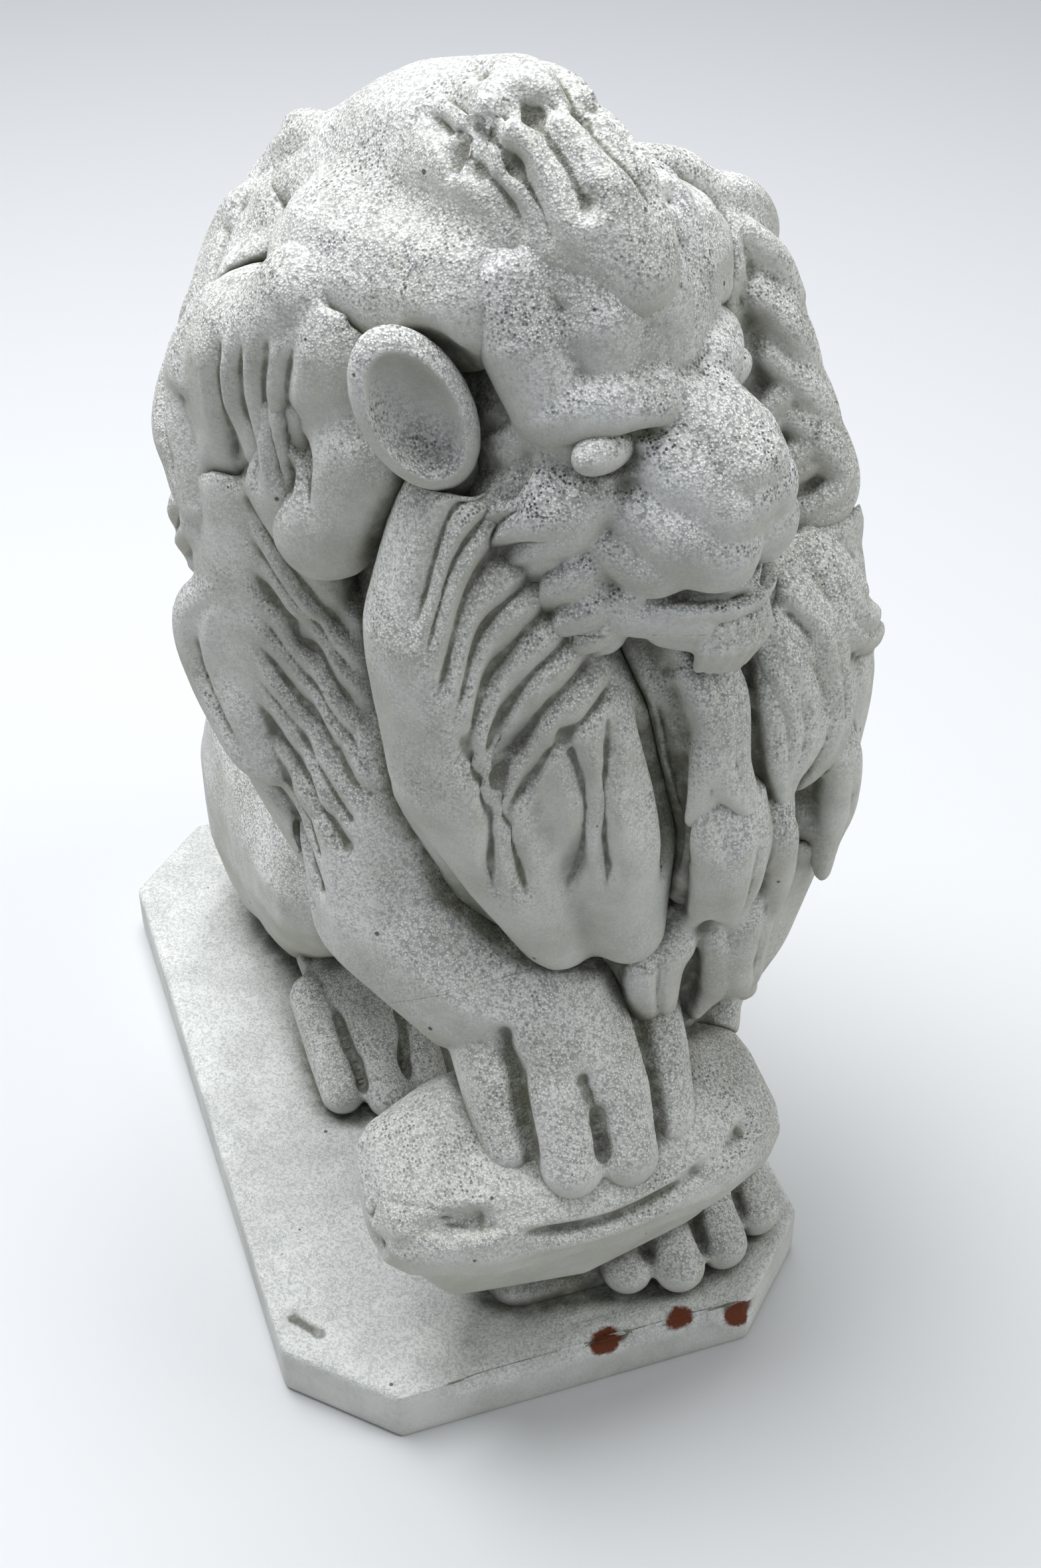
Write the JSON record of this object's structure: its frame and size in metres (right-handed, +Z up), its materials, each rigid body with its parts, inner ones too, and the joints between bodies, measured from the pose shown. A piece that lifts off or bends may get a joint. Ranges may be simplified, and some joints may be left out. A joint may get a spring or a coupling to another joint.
{
  "type": "garden lion statue",
  "caption": "Seated cast-stone garden lion with a full mane and a turned head, one forepaw resting on a small scrolled shield, on a plinth with clipped corners.",
  "frame": {"origin": "middle of the plinth's flat underside", "axes": "+Z up; the lion's body faces -Y and its head is turned towards +X, its own left"},
  "size_m": [0.342, 0.5086, 0.6882],
  "materials": {
    "plinth_stone": "smooth weathered cast stone, chipped and cracked at the front edge",
    "body_stone": "weathered cast stone with fine open aggregate",
    "mane_stone": "rough weathered cast stone, dark lichen specks, moss in the grooves",
    "face_stone": "weathered cast stone with fine open aggregate and small air holes",
    "shield_stone": "rough cast stone above, smooth form face below",
    "steel_bar": "mill-scaled bar with some rust"
  },
  "bodies": {
    "root": {"plinth": "plinth_stone", "plinth_bars": "steel_bar", "spine_bar": "steel_bar", "leg_bar": "steel_bar", "trunk": "body_stone", "right_haunch": "body_stone", "left_haunch": "body_stone", "right_hind_foot": "body_stone", "left_hind_foot": "body_stone", "tail": "body_stone", "left_foreleg": "body_stone", "left_forepaw": "body_stone", "right_foreleg": "body_stone", "right_forepaw": "body_stone", "shield_plate": "shield_stone", "shield_roll": "shield_stone", "shield_field": "shield_stone", "shield_foot": "shield_stone", "skull": "face_stone", "muzzle": "face_stone", "nose": "face_stone", "lower_jaw": "face_stone", "chin_tuft": "mane_stone", "right_ear": "face_stone", "left_ear": "face_stone", "eyes": "face_stone", "crown_mane": "mane_stone", "nape_mane": "mane_stone", "back_mane": "mane_stone", "right_temple_mane": "mane_stone", "right_side_mane": "mane_stone", "right_cheek_mane": "mane_stone", "throat_mane": "mane_stone", "chest_mane": "mane_stone", "left_temple_mane": "mane_stone", "left_side_mane": "mane_stone"}
  },
  "joints": []
}
